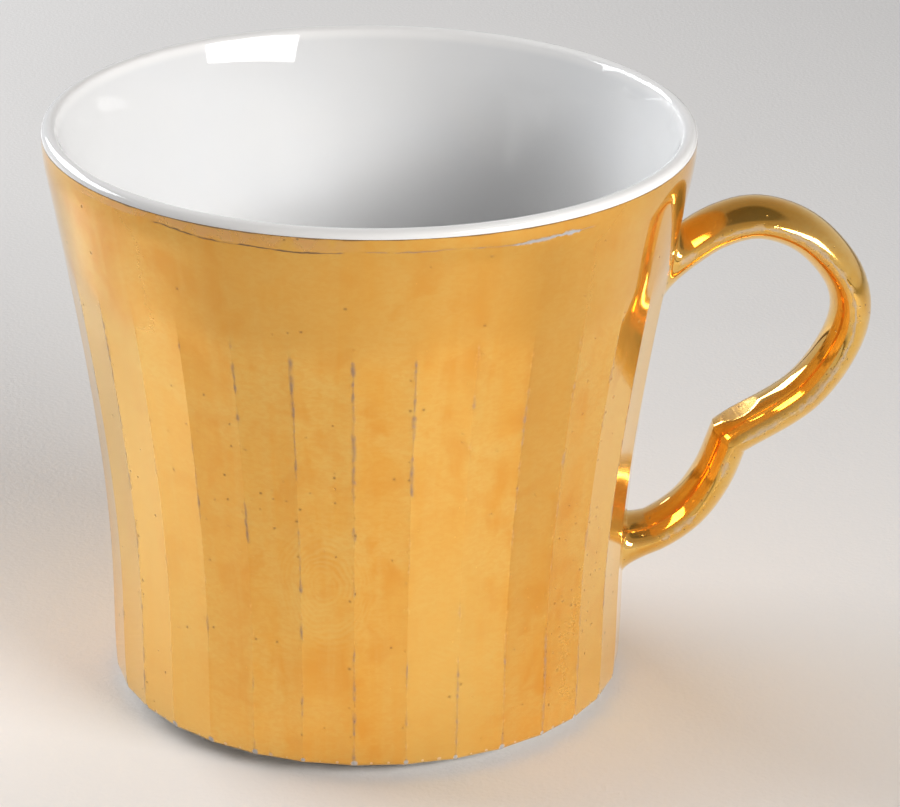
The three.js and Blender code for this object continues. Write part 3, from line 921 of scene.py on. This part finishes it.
def handleGold():
    material, tree, shader = newMaterial("handle_gold", {"Coat Weight": gold["coat"], **gold["finish"]})
    place = objectPlace(tree)
    share, along = pieceMap(tree)
    color, pale, deep = mottledGold(
        place, share * 4.0, along, gold["handleWarm"], gold["handlePale"], gold["handleDeep"])
    # the two side ridges are at a quarter and three quarters of the way round the strap
    ridgeDistance = (share - 0.25).math("PINGPONG", 0.25) * 9.0
    ridges = useGroup(
        wornLine, place, Distance=ridgeDistance, Width=gold["handleRidge"],
        Strength=wearAndShadeOf(tree, "ridgeWear"), Scale=900.0)
    holeShare = ease(ridgeDistance, 0.9, 0.2) * 0.45 + 0.05
    flat = flatPlace(share * gold["strapGirth"], along)
    holes = useGroup(pinHoles, flat, Share=holeShare, **gold["handleHoles"])
    pad = wearAndShadeOf(tree, "padWear")
    padGrain = pad * useGroup(smudges, objectPlace(tree, (1, 0.25, 1)), Scale=1500.0, Low=0.35, High=0.7)
    scratches = useGroup(hairScratches, place, Scale=170.0, Width=0.012, Share=0.12)

    thin = ridges * 0.85
    dirt = most(holes * 0.8, scratches * 0.35)
    color = layered(
        color, (padGrain, 0.6, gold["rubbed"]), (thin, 1.0, gold["handleBare"]), (dirt, 1.0, gold["dirt"]))
    put(shader["Base Color"], color)
    lost = most(thin * 0.75, dirt * 0.7)
    put(shader["Metallic"], most(gold["handleMetallic"] - lost, 0.0))
    # the face away from the wall is a little satin
    satin = ease(share.math("PINGPONG", 0.5), 0.24, 0.14) * (pale * 0.06 + 0.09)
    put(shader["Roughness"], deep * 0.04 + 0.035 + satin + most(lost, pad * 0.8) * 0.3)
    sunk = most(ridges * 0.7, holes, scratches)
    bumpOf(shader, grainOf(place, 420.0, 1.0) * 0.6 - sunk * 1.4 + padGrain, 0.02)
    return material


glaze = {
    "white": (0.86, 0.86, 0.86, 1),
    "cool": (0.82, 0.835, 0.86, 1),
    "lip": (0.96, 0.955, 0.95, 1),  # painted highlight: the lip's upturned top is painted whiter than the rest, partly the white body under thin glaze
    "lipHighlightDrops": (1.4, 0.6),  # millimetres below the lip's top where that starts and is full
    "speck": (0.30, 0.27, 0.24, 1),
}


def whiteGlaze():
    material, tree, shader = newMaterial("white_glaze")
    place = objectPlace(tree)
    cool = useGroup(smudges, place, Scale=60.0, Low=0.35, High=0.75)
    dark = useGroup(specks, place, Scale=160.0, Size=0.022, Share=0.05)
    # painted highlight along the top of the lip, partly the white body under thin glaze
    lipHighlight = ease(partOf(place, 2), *((cup["height"] - drop) * mm for drop in glaze["lipHighlightDrops"]))
    color = layered(
        glaze["white"], (cool, 0.5, glaze["cool"]), (lipHighlight, 1.0, glaze["lip"]), (dark, 0.7, glaze["speck"]))
    put(shader["Base Color"], color)
    put(shader["Roughness"], useGroup(smudges, place, Scale=140.0, Low=0.45, High=0.8) * 0.05 + 0.03)
    # slow waves of the fired glaze, and thick lumps inside one side of the rim
    lumps = grainOf(place, 380.0, 2.0, 0.4) * wearAndShadeOf(tree, "lumpy") * 5.0
    bumpOf(shader, grainOf(place, 90.0, 1.0) + lumps, 0.03)
    return material


bisque = {
    "white": (0.80, 0.79, 0.76, 1),
    "stain": (0.62, 0.58, 0.52, 1),
    "grey": (0.45, 0.44, 0.43, 1),
    "footRub": 0.3,  # millimetres above the table that are rubbed grey
    "bodyRub": 0.1,
}


def barePorcelain(name, rubbedBelow):
    # unglazed porcelain with fine grain, faint stains, and a grey rubbed line where it stands
    material, tree, shader = newMaterial(name)
    place = objectPlace(tree)
    stains = useGroup(smudges, place, Scale=170.0, Low=0.48, High=0.8)
    dark = useGroup(specks, place, Scale=420.0, Size=0.07, Share=0.12)
    patches = useGroup(smudges, place, Scale=500.0, Low=0.35, High=0.65)
    rubbed = ease(partOf(place, 2), rubbedBelow * mm, rubbedBelow * 0.3 * mm) * patches
    color = layered(
        bisque["white"], (stains, 0.45, bisque["stain"]), (dark, 0.6, bisque["grey"]),
        (rubbed, 0.6, bisque["grey"]))
    put(shader["Base Color"], color)
    grain = grainOf(place, 4000.0)
    put(shader["Roughness"], grain * 0.25 + 0.45)
    bumpOf(shader, grain - dark, 0.04)
    return material


wallGilding = wallGold()
handleGilding = handleGold()
glazed = whiteGlaze()
bareFoot = barePorcelain("bare_foot", bisque["footRub"])
porcelain = barePorcelain("porcelain", bisque["bodyRub"])
print("materials ready")

finishPiece(wallCoat(), "gold", wallGilding, "wall_gilding")
finishPiece(insideCoat(), "white_glaze", glazed, "inside_glaze")
finishPiece(porcelainBody(), "porcelain", porcelain, "cup_body")
finishPiece(footRing(), "porcelain", bareFoot, "foot_ring")
finishPiece(strapCoat(), "gold", handleGilding, "handle_gilding")
finishPiece(strapCore(), "porcelain", porcelain, "handle")
for name, root, end, direction, fillet, node in (
        ("upper_root", upperRoot, 0, loopStart, strap["upperFillet"], "upper_handle_joint"),
        ("lower_root", lowerRoot, -1, lobeEnd, strap["lowerFillet"], "lower_handle_joint")):
    piece = rootPiece(name, root, strapPlace[end], strapNormal[end], direction, fillet)
    finishPiece(piece, "gold", handleGilding, node)

# floor, lights and camera
studio = {
    "floorHalf": 3.0,
    "floorColor": (0.785, 0.77, 0.76, 1),
    "floorShade": (0.745, 0.73, 0.72, 1),
    "worldColor": (0.96, 0.97, 1.0, 1),
    "worldStrength": 0.04,
    # the room that the gold mirrors: pale at eye level, dimmer and warmer above, a dark gap overhead
    "mirroredHorizon": 0.6,
    "mirroredCeiling": 0.26,
    "mirroredGap": 0.03,
    "ceilingColor": (1.0, 0.8, 0.62, 1),
    # each lamp: degrees round the cup from the front, degrees up, distance, width and height
    "lamps": [
        {
            "name": "rightSoftbox", "round": 45, "up": 28, "away": 0.6, "size": (0.37, 0.13),
            "watts": 1.42, "color": (1.0, 0.985, 0.965),
        },
        {
            "name": "leftSoftbox", "round": 231, "up": 27, "away": 0.75, "size": (0.7, 0.26),
            "watts": 2.95, "color": (0.96, 0.98, 1.0),
        },
    ],
    "lampTarget": (0, 0, 0.03),
    "lampSpread": 120,  # degrees; narrower than usual, so the far floor isn't burnt out
    # small lamps that brighten the floor beside the picture, where the wall mirrors it
    "spots": [
        {"name": "leftSpot", "place": (-0.085, -0.003, 0.1), "size": 0.05, "watts": 0.0045},
        {"name": "backSpot", "place": (-0.11, 0.065, 0.1), "size": 0.05, "watts": 0.005},
        {"name": "frontSpot", "place": (0.03, -0.058, 0.1), "size": 0.05, "watts": 0.0036},
    ],
    "spotSpread": 45,
}


def pointAt(thing, place, target):
    direction = np.array(target) - np.array(place)
    direction = direction / np.linalg.norm(direction)
    yaw = math.atan2(direction[0], direction[1])
    pitch = math.asin(direction[2])
    thing.location = place
    thing.rotation_euler = (math.pi / 2 + pitch, 0, -yaw)


def makeFloor():
    half = studio["floorHalf"]
    mesh = bpy.data.meshes.new("floor")
    corners = [(half * x, half * y, 0) for x, y in ((-1, -1), (1, -1), (1, 1), (-1, 1))]
    mesh.from_pydata(corners, [], [(0, 1, 2, 3)])
    floor = addThing("floor", mesh)
    material, tree, shader = newMaterial("floor_paper", {"Roughness": 0.9})
    place = objectPlace(tree)
    clouds = useGroup(smudges, place, Scale=9.0, Low=0.35, High=0.75)
    put(shader["Base Color"], layered(studio["floorColor"], (clouds, 0.5, studio["floorShade"])))
    bumpOf(shader, grainOf(place, 1800.0, 3.0), 0.06)
    mesh.materials.append(material)


def makeRoom():
    # what the camera and the mirroring gold see of the room, and a faint even light for the rest
    world = bpy.data.worlds.new("studio")
    world.use_nodes = True
    tree = world.node_tree
    background = tree.nodes["Background"].inputs
    path = addNode(tree, "ShaderNodeLightPath").outputs
    mirrored = most(Value(tree, path["Is Camera Ray"]), Value(tree, path["Is Glossy Ray"]))
    upward = partOf(valueOf(tree, "ShaderNodeTexCoord", "Generated"), 2)
    room = ease(upward, 0.0, 0.85, studio["mirroredHorizon"], studio["mirroredCeiling"])
    room = ease(upward, 0.83, 0.9, room, studio["mirroredGap"])
    put(background["Color"], blend(ease(upward, 0.0, 0.9), studio["worldColor"], studio["ceilingColor"]))
    put(background["Strength"], mirrored * room + (1.0 - mirrored) * studio["worldStrength"])
    bpy.context.scene.world = world


def hangLamp(lamp, size, spread):
    light = bpy.data.lights.new(lamp["name"], "AREA")
    light.shape = "RECTANGLE"
    light.size, light.size_y = size
    light.energy = lamp["watts"]
    light.spread = math.radians(spread)
    return addThing(lamp["name"], light)


def hangLamps():
    for lamp in studio["lamps"]:
        thing = hangLamp(lamp, lamp["size"], studio["lampSpread"])
        thing.data.color = lamp["color"]
        side, up = math.radians(lamp["round"]), math.radians(lamp["up"])
        direction = np.array([math.sin(side) * math.cos(up), -math.cos(side) * math.cos(up), math.sin(up)])
        pointAt(thing, lamp["away"] * direction, studio["lampTarget"])
    for spot in studio["spots"]:
        thing = hangLamp(spot, (spot["size"], spot["size"]), studio["spotSpread"])
        thing.location = spot["place"]
        thing.visible_glossy = False


camera = {
    "away": 391.0,  # level distance from the cup's axis
    "aboveRim": 130.05,
    "turn": 2.875,  # degrees round the cup from a square view of the handle
    "pitch": 22.347,
    "yaw": -1.231,
    "roll": 0.73,
    "lens": 164.06,
    "sensor": 36,
}


def makeCamera():
    turn = math.radians(-camera["turn"])
    yaw, pitch, roll = (math.radians(camera[key]) for key in ("yaw", "pitch", "roll"))
    right = np.array([math.cos(yaw + turn), math.sin(yaw + turn), 0])
    level = np.array([-math.sin(yaw + turn), math.cos(yaw + turn), 0])
    up = math.sin(pitch) * level + math.cos(pitch) * np.array([0, 0, 1])
    right, up = (
        math.cos(roll) * right + math.sin(roll) * up,
        math.cos(roll) * up - math.sin(roll) * right,
    )
    back = np.cross(right, up)
    place = np.array([
        axisX + camera["away"] * math.sin(turn),
        -camera["away"] * math.cos(turn),
        cup["height"] + camera["aboveRim"],
    ])
    data = bpy.data.cameras.new("camera")
    data.sensor_fit = "HORIZONTAL"
    data.sensor_width = camera["sensor"]
    data.lens = camera["lens"]
    data.clip_start = 0.01
    thing = addThing("camera", data)
    matrix = np.eye(4)
    matrix[:3, 0], matrix[:3, 1], matrix[:3, 2], matrix[:3, 3] = right, up, back, place * mm
    thing.matrix_world = Matrix(matrix.tolist())
    bpy.context.scene.camera = thing


makeFloor()
makeRoom()
hangLamps()
makeCamera()
bpy.context.scene.view_settings.view_transform = "Standard"
print("studio and camera ready")

bpy.context.view_layer.update()
